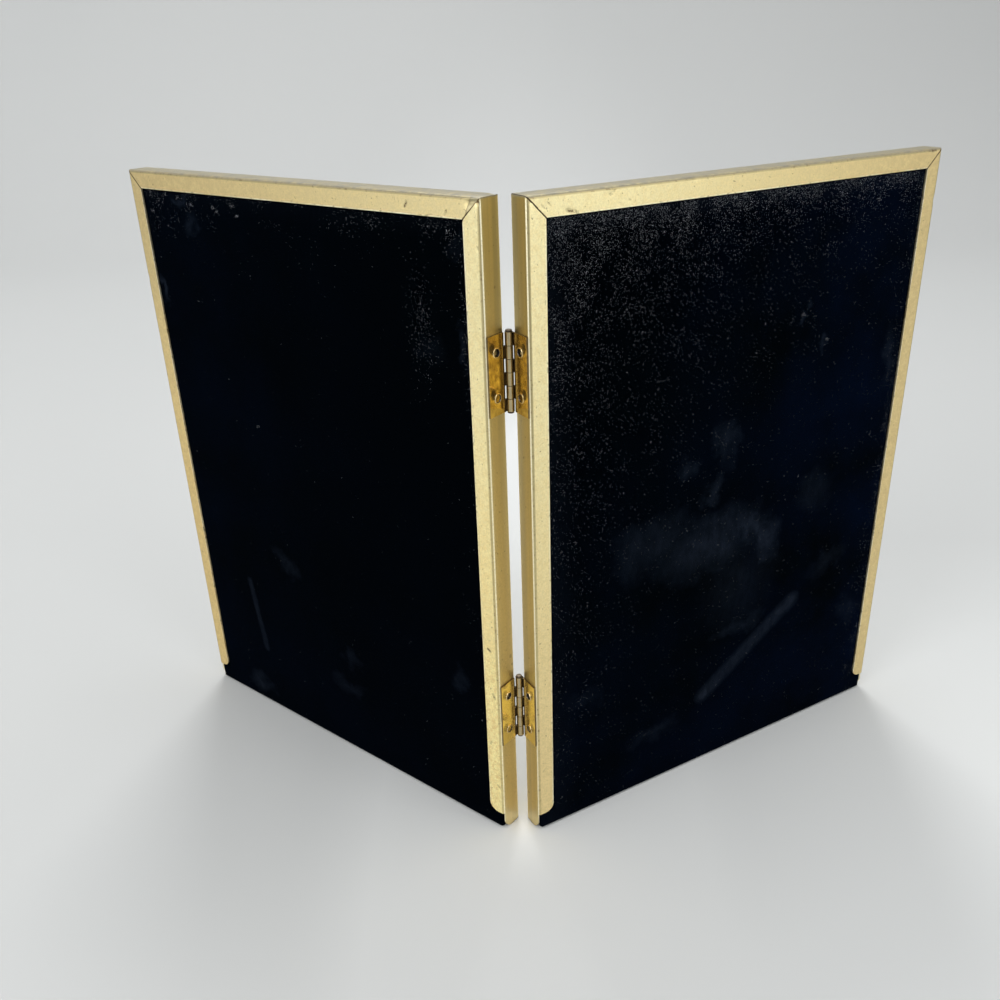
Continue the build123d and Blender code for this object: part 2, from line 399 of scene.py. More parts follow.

# %% [markdown]
# ## Gold-coloured rails: the finish
# The rails are steel or aluminium strip with a satin gold-coloured plating. Up close it has a very
# fine grain, slow clouds where it is a little duller, and brown spots where the plating has worn.
# The spots come from a "wear" value kept on each corner of the mesh, so that they follow the dents.

# %% Tones of the plating
# Some of these tones are painted light and shade: a pale painted highlight near the hinges, a bright painted
# light for the left foot, a pale painted highlight line, a painted shade far from the hinges and a darker
# painted shade for the side walls.
gold_light, gold_deep, gold_lit_pale = (0.94, 0.79, 0.41, 1), (0.86, 0.70, 0.34, 1), (0.98, 0.91, 0.56, 1)
gold_lit_low, gold_orange, gold_tan = (1.0, 0.92, 0.52, 1), (0.80, 0.58, 0.26, 1), (1.0, 0.80, 0.41, 1)
gold_shaded_far, gold_shaded_wall, gold_low_wall = (0.66, 0.51, 0.25, 1), (0.62, 0.49, 0.21, 1), (0.86, 0.70, 0.36, 1)
gold_streak_and_shade, gold_dull_and_shade, gold_highlight_line = (0.46, 0.37, 0.16, 1), (0.42, 0.35, 0.18, 1), (1.0, 0.95, 0.72, 1)
gold_worn, tip_grey, dust_grey = (0.15, 0.10, 0.05, 1), (0.34, 0.31, 0.20, 1), (0.21, 0.195, 0.145, 1)
lit_and_mottled_below = 67 * mm
bent_tip, tip_length, tip_slant = 0.36 * mm, 2.6 * mm, 0.42

# %% [markdown]
# The finish is painted in the upright frame's own directions, so it knows where it is on a rail. The helpers
# below add one thing each: the lip's tones with their painted highlight and shade, the painted reflection
# lines along the bend, the side wall's painted shade, the bent tip and the specks. Their order is the order
# of the coats.

# %% Satin gold plating
def lip_tones(m, side, reach, height, on_top_rail, sandy):
    """Painted highlight near the hinges, painted shade far from them and on the left top rail, painted light
    with orange mottling towards the left foot, and warm towards the right foot.
    """
    colour = m.mix(sandy, gold_light, gold_deep)
    # Painted highlight: the lips are painted paler near the hinges, where they catch the brightest light.
    highlight_near_hinge = m.times(m.spread(reach, 0.9 * frame_width, 0.1 * frame_width),
                      m.spread(height, 0.0, 0.8 * frame_height, 0.1 if side == "right" else 0.8, 1.0))
    colour = m.mix(m.times(highlight_near_hinge, 0.6), colour, gold_lit_pale)
    # Painted shade: the lips are painted deeper and darker far from the hinges.
    colour = m.mix(m.spread(reach, 0.2 * frame_width, frame_width, 0.0, 0.9), colour, gold_shaded_far)
    if side == "left":
        # Painted light: the left lip is painted brighter towards its foot. The orange mottling on it is
        # tarnish.
        low = m.times(m.spread(height, lit_and_mottled_below, lit_and_mottled_below - 12 * mm),
                      m.spread(reach, lip_width + sheet, lip_width))
        colour = m.mix(m.times(low, 0.7), colour, gold_lit_low)
        mottled = m.spread(m.noise(m.where, 600.0, 5.0, 0.75), 0.50, 0.62, 0.0, 0.6)
        colour = m.mix(m.times(low, mottled), colour, gold_orange)
        # Painted shade: the left top rail is painted darker.
        colour = m.mix(m.times(on_top_rail, 0.5), colour, gold_shaded_far)
    else:
        tan = m.times(m.spread(height, 0.65 * frame_height, 0.1 * frame_height, 0.0, 0.9),
                      m.spread(reach, 3 * lip_width, lip_width))
        colour = m.mix(tan, colour, gold_tan)
    return m.mix(m.spread(m.noise(m.where, 620.0, 4.0, 0.7), 0.42, 0.62, 0.0, 0.45), colour, gold_deep)


def bend_lines(m, colour, height, round_bend, at_back):
    """A painted dark reflection band where the lip begins to bend, and a painted highlight line on the crest
    beside it.
    """
    low_or_high = m.spread(height, 0.2 * frame_height, 0.8 * frame_height, 0.5, 0.9)
    # Painted reflection: a dark band where the lip begins to bend.
    dark_reflection_band = m.times(at_back, low_or_high, m.between(round_bend, -0.75 * mm, 0.0, 0.1 * mm))
    colour = m.mix(dark_reflection_band, colour, gold_dull_and_shade)
    on_top = m.spread(height, frame_height - 0.85 * mm, frame_height - 0.7 * mm)
    # Painted highlight: a bright line on the bend's crest.
    crest = m.times(at_back, m.between(round_bend, 0.1 * mm, 0.5 * mm, 0.1 * mm))
    return m.mix(m.minus(crest, on_top), colour, gold_highlight_line)


def wall_tones(m, side, depth, height):
    """The side wall: a deeper, darker copy of the gold as painted shade, with streaks along its length from
    brushing, a darker painted band near the front, and less painted shade towards the foot.
    """
    streaks_and_shade = m.noise(m.stretched(m.where, (1100, 1100, 14)), 1.0)
    # Painted shade: a darker band near the front is added to the brushing streaks.
    streaks_and_shade = m.plus(m.spread(streaks_and_shade, 0.38, 0.66, 0.0, 0.6), m.between(depth, 4.2 * mm, 5.8 * mm, 0.6 * mm))
    lower = m.spread(height, 0.95 * frame_height, 0.4 * frame_height, 0.0, 0.75 if side == "left" else 0.4)
    return m.mix(lower, m.mix(streaks_and_shade, gold_shaded_wall, gold_streak_and_shade), gold_low_wall)


def bent_tip_tones(m, colour, reach, to_top, on_tip_rail):
    """The top rail's bent tip: greyer than the lip, with a dark crease along its border."""
    past_crease = m.minus(reach, m.times(to_top, tip_slant))
    on_tip = m.spread(past_crease, tip_length + 0.1 * mm, tip_length - 0.1 * mm)
    scuffed = m.spread(m.noise(m.where, 900.0), 0.35, 0.65, 0.6, 0.95)
    colour = m.mix(m.times(on_tip_rail, on_tip, scuffed), colour, tip_grey)
    crease = m.between(past_crease, tip_length - 0.15 * mm, tip_length + 0.05 * mm, 0.08 * mm)
    return m.mix(m.times(crease, on_tip_rail, 0.6), colour, gold_worn)


def specks_of(m, own, edge, round_bend):
    """Round specks, slanted scratches, and chips along the lip's two borders."""
    speck = m.spread(m.noise(m.where, 1300.0, 2.0), 0.70, 0.73)
    slanted = m.stretched(own, (3200, 300, 500), (0, math.radians(40), 0))
    scratch = m.spread(m.noise(slanted, 1.0, 2.0), 0.67, 0.70)
    few = m.spread(m.noise(m.where, 170.0, 2.0), 0.57, 0.64)
    borders = m.larger(m.between(round_bend, -0.75 * mm, 0.0, 0.15 * mm),
                       m.between(edge, lip_width - 0.3 * mm, lip_width + 0.2 * mm, 0.1 * mm))
    chips = m.spread(m.noise(m.where, 800.0, 4.0, 0.7), 0.57, 0.62)
    return m.larger(speck, m.times(scratch, few), m.times(chips, borders))


def gold_finish(side):
    """The whole plating of one frame: tones first, then lines and specks, then wear and dust."""
    m = recipe(side + "_gold_plating")
    own = m.own(side)
    reach, depth, height = m.apart(own)
    to_side, to_top = m.smaller(reach, m.minus(frame_width, reach)), m.minus(frame_height, height)
    edge = m.smaller(to_side, to_top)
    on_top_rail = m.maths("LESS_THAN", to_top, to_side)
    round_bend = m.minus(depth, edge)
    at_back = m.spread(depth, 1.2 * mm, 0.9 * mm)
    on_wall = m.times(m.spread(round_bend, 0.45 * mm, 0.65 * mm), m.spread(depth, 6.7 * mm, 6.3 * mm))
    cloud = m.spread(m.noise(m.where, 70.0, 5.0, 0.6), 0.35, 0.68)
    grain = m.noise(m.where, 2300.0, 3.0, 0.7)
    blotch = m.spread(m.noise(m.where, 480.0, 4.0, 0.65), 0.36, 0.64, -0.15, 0.4)
    sandy = m.plus(m.times(cloud, 0.3), blotch, m.spread(grain, 0.34, 0.66, -0.6, 1.1))

    colour = lip_tones(m, side, reach, height, on_top_rail, sandy)
    colour = bend_lines(m, colour, height, round_bend, at_back)
    # The side wall's tones, painted shade among them, take the place of the lip's here.
    colour = m.mix(on_wall, colour, wall_tones(m, side, depth, height))
    if side == "left":
        colour = bent_tip_tones(m, colour, reach, to_top, m.times(on_top_rail, at_back))
    # Painted highlight: a pale line along the lip's inner edge.
    rim_highlight = m.between(edge, lip_width - 0.25 * mm, lip_width + 0.2 * mm, 0.1 * mm)
    colour = m.mix(m.times(rim_highlight, cloud), colour, gold_highlight_line)
    colour = m.mix(m.spread(grain, 0.62, 0.40, 0.0, 0.26), colour, gold_dull_and_shade)
    colour = m.mix(m.times(specks_of(m, own, edge, round_bend), 0.55), colour, gold_worn)

    wear = m.add("Attribute", attribute_name="wear").outputs["Fac"]
    flakes = m.spread(m.noise(m.where, 900.0, 4.0, 0.7), 0.42, 0.60)
    ragged = m.times(wear, m.plus(flakes, wear))
    colour = m.mix(m.spread(wear, 0.20, 0.28, 0.0, 0.42), colour, gold_dull_and_shade)
    colour = m.mix(m.spread(ragged, 0.38, 0.52, 0.0, 0.95), colour, gold_worn)
    dust = m.times(m.spread(height, frame_height - 0.6 * mm, frame_height - 0.25 * mm),
                   m.spread(blotch, -0.15, 0.4, 0.55, 0.95))
    colour = m.mix(dust, colour, dust_grey)
    low_dull = 0.78 if side == "left" else 0.5
    dull = m.spread(height, 0.85 * frame_height, 0.45 * frame_height, 0.46, low_dull)
    dull = m.spread(on_wall, 0.0, 1.0, dull, 0.38)
    metal = m.spread(dust, 0.0, 1.0, 1.0, 0.1)
    return m.surface(colour, dull, Metallic=metal, Normal=m.bump(grain, 0.022 * mm))


gold = {side: gold_finish(side) for side in ("left", "right")}
print("gold:", [len(material.node_tree.nodes) for material in gold.values()], "nodes")

# %% [markdown]
# ## Rolled rails
# Each rail is one strip of 0.5 mm sheet, rolled to a channel: a narrow lip on the velvet side, a
# side wall, and a sloping front face with a small hem over the glass. Two passes make it here:
# the section is drawn as a wire and stretched to the rail's length, and each fold is rounded.
# The bottom rail has no lip, so that the back panel can slide out over it.

# %% The channel's section, as (across, depth) in the rail's own directions
sight_front, glass_front, ledge_back = 6.9 * mm, 6.3 * mm, 3.5 * mm
bend_radius, sight_radius = 0.8 * mm, 0.6 * mm
hem = [(face_width, sight_front), (face_width, glass_front)]
channel = [(lip_width, 0), (0, 0), (0, frame_depth)] + hem
ledge = [(0, ledge_back), (0, frame_depth)] + hem
fold_segments = 6


def rolled_strip(section, length):
    """A strip bent to a section, with x along it, y across the face and z from back to front."""
    bm = bmesh.new()
    ends = [bm.verts.new((0, across, depth)) for across, depth in section]
    drawn = [bm.edges.new(pair) for pair in zip(ends, ends[1:])]
    raised(bm, drawn, (length, 0, 0))
    for before, place, after in zip(section, section[1:], section[2:]):
        at, arriving, leaving = Vector(place), Vector(place) - Vector(before), Vector(after) - Vector(place)
        radius = sight_radius if place == hem[0] else bend_radius
        fold = [e for e in bm.edges if all((v.co.yz - at).length < sheet / 10 for v in e.verts)]
        rounded_off(bm, fold, radius * math.tan(arriving.angle(leaving) / 2), fold_segments)
    return bm

# %% [markdown]
# At the foot the lips of the two upright rails, the stiles, stop above the floor with a round
# corner, and the side wall's raw edge is rounded off too. The back panel slides out through there.

# %% The cut at a stile's foot
lip_cut_height, lip_corner_radius, wall_corner_radius = 6.1 * mm, 2.8 * mm, 3.2 * mm
corner_segments = 8


def cut_foot(bm):
    """Takes the lip off a stile's foot and rounds the two corners that this leaves."""
    slices_at(bm, 0, [lip_cut_height])

    def on_lip_foot(face):
        middle = face.calc_center_median()
        return middle.x < lip_cut_height and middle.y < lip_width and middle.z < bend_radius

    bmesh.ops.delete(bm, geom=[f for f in bm.faces if on_lip_foot(f)], context="FACES")
    corners = (((lip_cut_height, lip_width, 0), lip_corner_radius),
               ((0, 0, bend_radius), wall_corner_radius))
    for place, radius in corners:
        corner = min(bm.verts, key=lambda v: (v.co - Vector(place)).length)
        rounded_off(bm, [corner], radius, corner_segments, "VERTICES")

# %% [markdown]
# ## Dents and wear
# No rolled strip stays flat: it has shallow waves from rolling and small dents from handling. Both
# are pressed into the mesh here, always inward, so that the frame stays within its real size.
# A mark is where it is along and across the rail, its half length and half width, its turn in
# degrees, its depth, and how brown it is. Its lengths are in millimetres.
# Beside these marks each rail gets a few nicks at random places, and the left top rail's tip at the
# hinge is bent inward, as in the photograph: a small facet that slopes down to the mitre.

# %% Marks seen in the photograph
Mark = namedtuple("Mark", "along across half_length half_width turn depth brown")
marks = {
    "right_top_rail": [(11.4, 4.3, 1.1, 0.5, 20, 0.16, 1.0), (13.2, 4.7, 0.8, 0.3, 50, 0.10, 0.9),
                       (23.0, 1.4, 1.4, 0.4, -35, 0.12, 0.6), (27.9, 3.4, 0.6, 0.3, 30, 0.06, 0.5),
                       (4.3, 2.6, 1.0, 0.25, 40, 0.08, 0.6), (5.9, 2.2, 1.0, 0.25, 40, 0.08, 0.6),
                       (47.0, 0.4, 0.9, 0.5, 0, 0.15, 0.4), (71.0, 2.2, 0.9, 0.25, 25, 0.05, 0.5),
                       (103.0, 4.2, 0.9, 0.3, -20, 0.06, 0.4), (131.4, 0.2, 1.4, 0.8, 0, 0.30, 1.0)],
    "left_top_rail": [(22.3, 2.9, 0.9, 0.35, 60, 0.14, 0.9), (10.1, 3.9, 0.8, 0.35, 70, 0.12, 0.9),
                      (2.2, 1.3, 1.7, 0.22, 55, 0.20, 0.9), (1.2, 0.8, 0.5, 0.3, 0, 0.2, 0.8),
                      (14.5, 4.6, 1.6, 0.25, 10, 0.05, 0.5), (2.4, 1.2, 1.5, 0.9, 25, 0.34, 0.45),
                      (52.0, 0.3, 1.0, 0.5, 0, 0.14, 0.4), (88.0, 1.0, 0.9, 0.3, 30, 0.07, 0.4),
                      (121.0, 0.5, 1.2, 0.5, 0, 0.12, 0.5)],
    "right_hinge_stile": [(181.0, 1.2, 0.7, 0.4, 30, 0.2, 0.8), (158.0, 4.6, 0.8, 0.3, 0, 0.08, 0.5),
                          (112.0, 0.4, 0.9, 0.4, 0, 0.12, 0.5), (60.0, 4.9, 1.2, 0.3, 0, 0.08, 0.5),
                          (22.0, 2.0, 0.8, 0.25, 40, 0.06, 0.5)],
    "left_hinge_stile": [(180.8, 0.5, 0.7, 0.5, 20, 0.25, 0.8), (176.4, 4.6, 1.0, 0.3, 80, 0.15, 0.9),
                         (171.0, 1.0, 0.9, 0.3, 20, 0.08, 0.5), (124.0, 4.7, 0.9, 0.3, 0, 0.08, 0.4),
                         (63.0, 3.0, 1.0, 0.5, 50, 0.07, 0.6), (48.0, 2.0, 1.2, 0.5, 30, 0.07, 0.6),
                         (31.0, 3.8, 1.0, 0.4, -30, 0.06, 0.6), (16.0, 1.6, 0.9, 0.4, 60, 0.06, 0.6)],
    "right_outer_stile": [(168.0, 0.3, 1.1, 0.5, 0, 0.16, 0.6), (90.0, 4.0, 0.8, 0.3, 20, 0.07, 0.4)],
    "left_outer_stile": [(150.0, 0.3, 1.0, 0.5, 0, 0.12, 0.5), (70.0, 4.2, 0.8, 0.3, 20, 0.08, 0.4)],
}
wave_length, wave_depth = 26 * mm, 0.035 * mm
slice_step, lip_slices, mark_slices = 1.5 * mm, 12, (-1.2, -0.4, 0.4, 1.2)
seam_half_gap, seam_dirt = 0.12 * mm, 0.24 * mm
nicks_each, nicks_from_end = 6, 4

# %% Pressing them into the strip
def nicks(rail, length):
    """Small nicks at random places, most of them along the lip's two edges."""
    draw = random.Random(rail)
    found = []
    for _ in range(nicks_each):
        across = draw.choice((0.3, 0.5, 4.8, 4.9, draw.uniform(0.6, 4.5)))
        at = draw.uniform(nicks_from_end, length / mm - nicks_from_end)
        half_length, half_width = draw.uniform(0.2, 0.6), draw.uniform(0.12, 0.25)
        turn, depth, brown = draw.uniform(-50, 50), draw.uniform(0.03, 0.10), draw.uniform(0.2, 0.5)
        found.append(Mark(at, across, half_length, half_width, turn, depth, brown))
    return found


def nearness(vert, mark):
    """1 in the middle of a mark, fading to 0 past its border."""
    along, across = vert.co.x - mark.along * mm, vert.co.y - mark.across * mm
    cos, sin = math.cos(math.radians(mark.turn)), math.sin(math.radians(mark.turn))
    lengthwise = (along * cos + across * sin) / (mark.half_length * mm)
    widthwise = math.hypot(across * cos - along * sin, vert.co.z) / (mark.half_width * mm)
    return math.exp(-lengthwise ** 2 - widthwise ** 2)


def press_marks(bm, rail_marks, seed, bent):
    """Moves the strip's surface inward by shallow waves and by the rail's dents."""
    bm.normal_update()
    pressed = []
    for vert in bm.verts:
        along, across, _ = vert.co
        push = wave_depth * (1 + noise.noise(Vector((along / wave_length, across / wave_length, seed)))) / 2
        push += sum(mark.depth * mm * nearness(vert, mark) for mark in rail_marks)
        if bent:
            push += bent_tip * max(0.0, 1 - (along - tip_slant * across) / tip_length)
        pressed.append((vert, push))
    for vert, push in pressed:
        vert.co -= vert.normal * push


def note_wear(bm, rail_marks):
    """Keeps on each corner how far the plating has worn there."""
    wear = bm.verts.layers.float["wear"]
    for vert in bm.verts:
        vert[wear] = max([vert[wear]] + [mark.brown * nearness(vert, mark) for mark in rail_marks])

# %% Building a rail from its section
def rail(section, name, length, stile, seed):
    """A finished rail along x: cut, pressed, thickened and mitred at both ends."""
    bm = rolled_strip(section, length)
    bent = name == "left_top_rail"
    if stile:
        cut_foot(bm)
    slices_along(bm, 0, 0, length, slice_step)
    rail_marks = [Mark(*values) for values in marks.get(name, [])]
    if section is channel:
        rail_marks += nicks(name, length)
    for mark in rail_marks:
        slices_at(bm, 0, [(mark.along + mark.half_length * step) * mm for step in mark_slices])
    slices_along(bm, 1, 0, lip_width, lip_width / lip_slices)
    bm.verts.layers.float.new("wear")
    if bent:
        slice_at(bm, (tip_length, 0, 0), (1, -tip_slant, 0))
    press_marks(bm, rail_marks, seed, bent)
    bmesh.ops.solidify(bm, geom=bm.faces[:], thickness=sheet)
    wear = bm.verts.layers.float["wear"]
    for start, way in ((0, 1), (length, -1)):
        mitre = (-way, 1, 0)
        slice_at(bm, (start + way * (seam_half_gap + seam_dirt), 0, 0), mitre)
        slice_at(bm, (start + way * seam_half_gap, 0, 0), mitre, clear_outer=True)
        rim = [e for e in bm.edges if len(e.link_faces) == 1]
        for vert in {v for e in rim for v in e.verts}:
            vert[wear] = 1.0
        bmesh.ops.holes_fill(bm, edges=rim, sides=0)
    note_wear(bm, rail_marks)
    return bm


def along_rail(along, across, origin=(0, 0, 0)):
    """Matrix from a rail's own directions to the upright frame's: its depth always faces front."""
    columns = (Vector(along), Vector(across), Vector((0, 1, 0)), Vector(origin))
    matrix = Matrix.Identity(4)
    for i, column in enumerate(columns):
        for row in range(3):
            matrix[row][i] = column[row]
    return matrix


up, down, outward, inward = (0, 0, 1), (0, 0, -1), (1, 0, 0), (-1, 0, 0)
rails = {
    "top_rail": (channel, frame_width, False, along_rail(outward, down, (0, 0, frame_height))),
    "bottom_rail": (ledge, frame_width, False, along_rail(inward, up, (frame_width, 0, 0))),
    "hinge_stile": (channel, frame_height, True, along_rail(up, outward)),
    "outer_stile": (channel, frame_height, True, along_rail(up, inward, (frame_width, 0, 0))),
}
edge_softness, edge_turn = 0.08 * mm, math.radians(40)
seed = 0
for side in ("left", "right"):
    for name, (section, length, stile, turn) in rails.items():
        seed += 1
        node = f"{side}_{name}"
        bm = rail(section, node, length, stile, seed * 3.1)
        piece = finished(bm, side, node, f"{side}_frame", [gold[side]], turn)
        soft_edges(piece, edge_softness, edge_turn)
        print(node, len(piece.data.vertices), "vertices")

# %% [markdown]
# ## Velvet backs
# A thin board is covered with velvet, glued down and turned over its edges. Where the lips hold it
# the pile is pressed flat, and in the open field it stands a little higher. The cover starts as
# one face whose border is folded forward over the board. Slices then let the pile rise in the
# field and dip at its edges.

# %% The cover's sizes
board_side_gap, board_head_gap, board_foot_gap = 1.0 * mm, 0.9 * mm, 0.4 * mm
cover_low, cover_high = board_foot_gap, frame_height - board_head_gap
cover_near, cover_far = board_side_gap, frame_width - board_side_gap
cover_thickness, rim_front = 0.4 * mm, 3.2 * mm
pressed_back, pile_back = 0.8 * mm, 0.35 * mm
field_near, field_far = lip_width + 0.3 * mm, frame_width - lip_width - 0.3 * mm
field_high, skirt_high = frame_height - lip_width - 0.3 * mm, lip_cut_height - 0.3 * mm
cover_step, pile_slope, cover_rounding = 1.25 * mm, 0.5 * mm, 0.4 * mm
slope_slices = (0.0, 0.35, 0.65, 1.0)
sway_length, sway_height = 9 * mm, 0.02 * mm
print("cover:", round((cover_far - cover_near) / mm, 1), "x", round((cover_high - cover_low) / mm, 1), "mm")


def eased(value):
    """0 below 0, 1 above 1, and a smooth step between."""
    value = min(1.0, max(0.0, value))
    return value * value * (3 - 2 * value)


def pile_rise(across, up_from_floor):
    """How far the pile stands up at a place: 0 under the lips and 1 in the open field."""
    in_field = min(across - field_near, field_far - across, field_high - up_from_floor)
    return max(eased(in_field / pile_slope), eased((skirt_high - up_from_floor) / pile_slope))


def velvet_cover():
    """A sheet over the board's back and round its edges, with x and z across the back."""
    bm = bmesh.new()
    back = oblong(bm, 1, pressed_back, (cover_near, cover_far), (cover_low, cover_high))
    if back.normal.y > 0:
        bmesh.ops.reverse_faces(bm, faces=[back])
    border = list(back.edges)
    raised(bm, border, (0, rim_front - pressed_back, 0))
    corner_edges = [e for e in bm.edges if abs(e.verts[0].co.y - e.verts[1].co.y) > cover_thickness]
    rounded_off(bm, border + corner_edges, cover_rounding, 3)
    bmesh.ops.recalc_face_normals(bm, faces=bm.faces)
    slices_along(bm, 0, cover_near, cover_far, cover_step)
    slices_along(bm, 2, cover_low, cover_high, cover_step)
    for share in slope_slices:
        shift = share * pile_slope
        slices_at(bm, 0, (field_near + shift, field_far - shift))
        slices_at(bm, 2, (field_high - shift, skirt_high - shift))
    for vert in bm.verts:
        if vert.co.y < pressed_back + 0.01 * mm:
            rise = pile_rise(vert.co.x, vert.co.z)
            sway = noise.noise(Vector((vert.co.x, 0, vert.co.z)) / sway_length) * sway_height
            vert.co.y += rise * (pile_back - pressed_back + sway)
    bmesh.ops.recalc_face_normals(bm, faces=bm.faces)
    if max(bm.faces, key=lambda f: f.calc_area()).normal.y > 0:
        bmesh.ops.reverse_faces(bm, faces=bm.faces)
    bmesh.ops.solidify(bm, geom=bm.faces[:], thickness=cover_thickness)
    return bm

# %% [markdown]
# Velvet is nearly black because its pile stands on end and swallows light. What shows is where the pile leans
# another way: rubbed streaks and soft thumb marks. A navy tinge towards the far side and the foot is partly a
# painted sheen and partly pile that leans another way. Each mark is an ellipse, softened by noise, in the
# panel's own directions.

# %% Velvet finish
black_pile, navy_pile = (0.0004, 0.0009, 0.0016, 1), (0.0007, 0.0024, 0.0080, 1)
rubbed_pile, sheen_tint = (0.014, 0.019, 0.030, 1), (0.45, 0.55, 0.8, 1)
smudges = {
    "right": [(75.5, 79.8, 10, 5.5, -32, 0.70), (82.0, 74.5, 5.0, 8.0, 0, 0.65),
              (60.0, 79.0, 20, 9.5, 8, 0.55), (41.5, 85.2, 12, 9.0, 10, 0.36), (31.9, 84.5, 7, 9.0, 0, 0.32),
              (72.0, 62.0, 14, 15.0, 0, 0.22), (72.9, 46.5, 10, 3.5, 8, 0.36), (59.4, 96.2, 5, 3.5, 40, 0.50),
              (63.3, 110.0, 4, 8.0, 10, 0.36), (50.3, 104.7, 4, 4.0, 0, 0.36), (99.5, 86.1, 6, 8.0, 60, 0.24),
              (109.6, 59.1, 8, 4.0, 30, 0.25), (125.3, 123.6, 3, 9.0, 0, 0.35), (16.3, 40.7, 6, 4.0, 0, 0.20),
              (122.3, 36.5, 5, 7.0, 0, 0.22), (42.0, 18.6, 9, 3.5, 15, 0.25), (87.7, 142.1, 2, 1.6, 0, 0.50),
              (98.1, 133.5, 2, 1.5, 30, 0.45)],
    "left": [(111.0, 7.0, 6, 4.5, 0, 0.40), (86.4, 63.8, 6, 3.5, 30, 0.25), (62.9, 25.3, 7, 3.5, 0, 0.22),
             (59.5, 36.4, 5, 3.0, 20, 0.22), (111.4, 174.8, 4, 1.6, 0, 0.45), (108.6, 168.0, 3, 2.0, 0, 0.35),
             (127.3, 147.0, 1.6, 4.0, 0, 0.50), (17.8, 145.0, 4, 5.0, 0, 0.12), (7.8, 172.3, 3, 3.0, 0, 0.15),
             (6.5, 146.8, 1.5, 6.0, 0, 0.30), (14.6, 48.3, 3, 4.0, 0, 0.25)],
}
streaks_rubbed = {
    "right": [(77.9, 37.2, 21.0, 2.7, 34, 0.46), (93.0, 47.3, 3.0, 1.8, 34, 0.70),
              (61.0, 25.8, 0.7, 1.9, 34, 0.7)],
    "left": [(106.1, 37.0, 13.0, 1.3, 82, 0.35)],
}
smudge_growth = 1.25


def swirled(m, where, reach):
    """Coordinates shifted about by noise, so that what is drawn on them gets a ragged border."""
    drift = m.add("TexNoise", {"Vector": where, "Scale": 130.0, "Detail": 4.0, "Roughness": 0.6})
    centred = m.vector_maths("SUBTRACT", drift.outputs["Color"], (0.5, 0.5, 0.5))
    return m.vector_maths("ADD", where, m.vector_maths("SCALE", centred, Scale=reach))


def on_panel(m, where, across, height, turn, size=(1, 1, 1)):
    """Coordinates counted from a place on the panel, turned round the panel's normal."""
    return m.mapped(where, Vector((across, 0, height)) * mm, (0, -math.radians(turn), 0), size)


def ellipse_of(m, where, across, height, half_length, half_width, turn):
    """1 at the middle of an ellipse on the panel, falling to 0 at its edge."""
    size = Vector((smudge_growth * half_length, 100, smudge_growth * half_width)) * mm
    away = m.vector_maths("LENGTH", on_panel(m, where, across, height, turn, size))
    return m.spread(away, 0.15, 1.0, 1.0, 0.0)


def streak_of(m, where, across, height, half_length, half_width, turn):
    """1 along a straight rubbed streak with rounded ends, and 0 beside it."""
    lengthwise, _, widthwise = m.apart(on_panel(m, where, across, height, turn))
    past_end = m.larger(m.minus(m.maths("ABSOLUTE", lengthwise), half_length * mm), 0.0)
    away = m.maths("POWER", m.plus(m.times(past_end, past_end), m.times(widthwise, widthwise)), 0.5)
    return m.spread(away, 0.5 * half_width * mm, 1.3 * half_width * mm, 1.0, 0.0)


def velvet_finish(side):
    """Black pile with a navy tinge that is partly a painted sheen, paler where it is rubbed."""
    m = recipe(side + "_velvet")
    where = m.own(side)
    reach, _, height = m.apart(where)
    cloud = m.spread(m.noise(where, 24.0, 4.0, 0.6), 0.36, 0.66)
    # Painted sheen, in part: the navy tinge grows towards the far side and the foot.
    tinge = m.larger(m.spread(reach, 0.2 * frame_width, 0.85 * frame_width),
                     m.spread(height, 0.75 * frame_height, 0.05 * frame_height, 0.0, 0.6))
    colour = m.mix(m.times(tinge, 1.0 if side == "right" else 0.3, cloud), black_pile, navy_pile)
    head = m.spread(height, field_high - 5 * mm, field_high, 0.0, 0.18)
    near = m.spread(reach, field_near + 9 * mm, field_near, 0.0, 0.12)
    rubbed = m.plus(head, near) if side == "right" else m.times(head, 0.3)
    ragged, straight = swirled(m, where, 16 * mm), swirled(m, where, 1.5 * mm)
    for *ellipse, strength in smudges[side]:
        rubbed = m.larger(m.times(ellipse_of(m, ragged, *ellipse), strength), rubbed)
    for *streak, strength in streaks_rubbed[side]:
        rubbed = m.larger(m.times(streak_of(m, straight, *streak), strength), rubbed)
    strokes = m.noise(m.stretched(where, (500, 500, 240)), 1.0, 4.0, 0.65)
    colour = m.mix(m.times(rubbed, m.spread(strokes, 0.36, 0.66, 0.55, 1.0)), colour, rubbed_pile)
    pile = m.bump(m.noise(where, 3200.0, 2.0), 0.15 * mm)
    return m.surface(colour, 1.0, Specular_IOR_Level=0.0, Sheen_Weight=0.018, Sheen_Roughness=0.35,
                     Sheen_Tint=sheen_tint, Normal=pile)


for side in ("left", "right"):
    node = side + "_velvet_cover"
    finished(velvet_cover(), side, node, side + "_back", [velvet_finish(side)])

# %% [markdown]
# ## Lint and rubbed pile
# The velvet has gathered pale lint, most of it along the top edge and near the hinge side, where
# fingers brush it. A bit of lint is a short thin tapered fibre that lies on the pile. Thousands are
# scattered by a density rule: each place is tried at random and kept more often where lint gathers.

# %% Where lint gathers, from 0 to 1
lint_spots = [(9.5, 173.7, 2.0, 4.0), (20.0, 150.0, 3.5, 11.0), (6.0, 150.0, 1.2, 14.0),
              (35.0, 174.5, 4.0, 1.6), (15.5, 175.0, 3.5, 1.2)]


